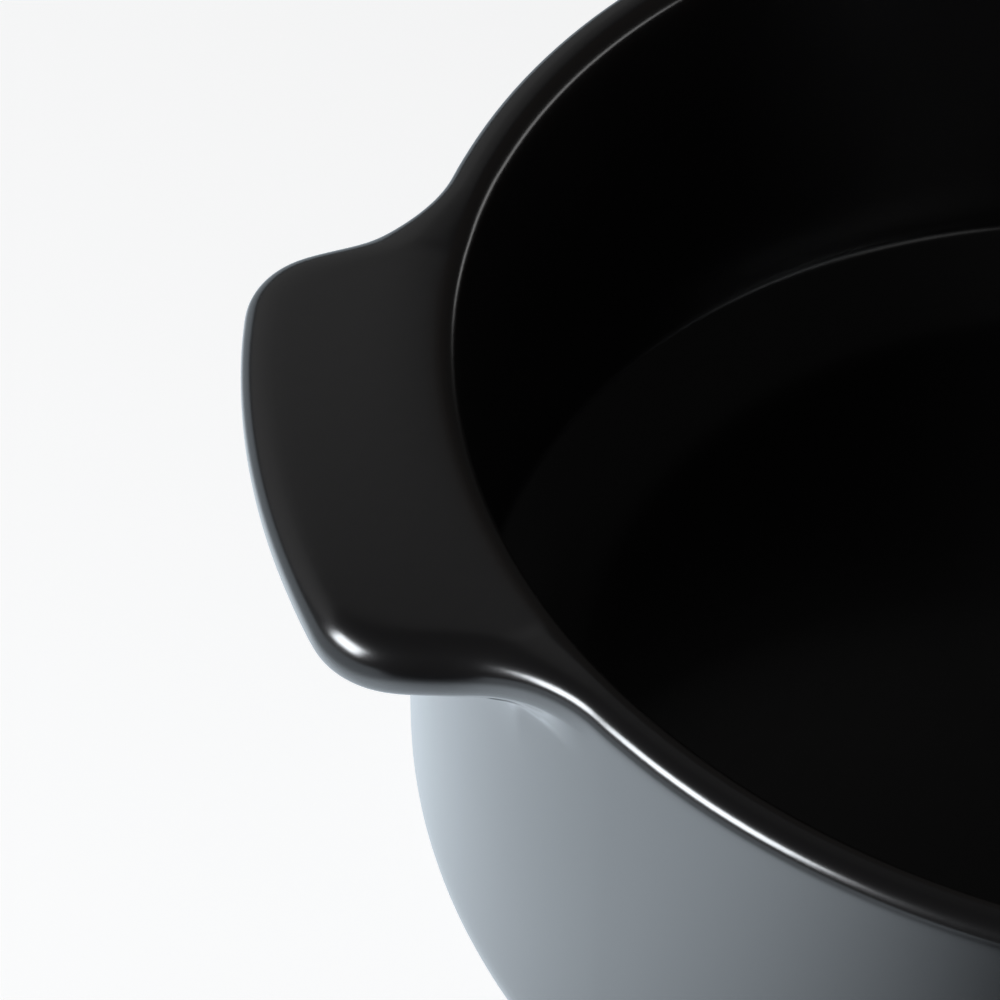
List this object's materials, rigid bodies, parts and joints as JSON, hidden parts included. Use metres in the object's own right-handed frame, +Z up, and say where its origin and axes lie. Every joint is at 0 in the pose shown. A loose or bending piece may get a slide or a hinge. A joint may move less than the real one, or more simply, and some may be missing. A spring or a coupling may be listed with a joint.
{
  "type": "ceramic casserole pot",
  "caption": "Round black-glazed stoneware casserole with broad tab ears flush with its rim and a domed knob lid, for slow cooking and serving.",
  "frame": {"origin": "centre of the pot's foot, on the surface it stands on", "axes": "+Z is up, the ears lie along X, and the lid lies upside down on its knob in the +X +Y corner"},
  "size_m": [0.461, 0.4366, 0.092],
  "materials": {
    "black_glaze": "satin black glaze over stoneware"
  },
  "bodies": {
    "pot": {"pot_bowl": "black_glaze", "left_ear": "black_glaze", "right_ear": "black_glaze"},
    "lid": {"lid_dome": "black_glaze", "lid_knob": "black_glaze"}
  },
  "joints": [
    {"name": "lid_turnover", "type": "hinge", "parent": "pot", "child": "lid", "pos_m": [0.09758, 0.09758, 0.07111], "axis": [0.7071, -0.7071, 0], "range_deg": [0, 180]}
  ]
}
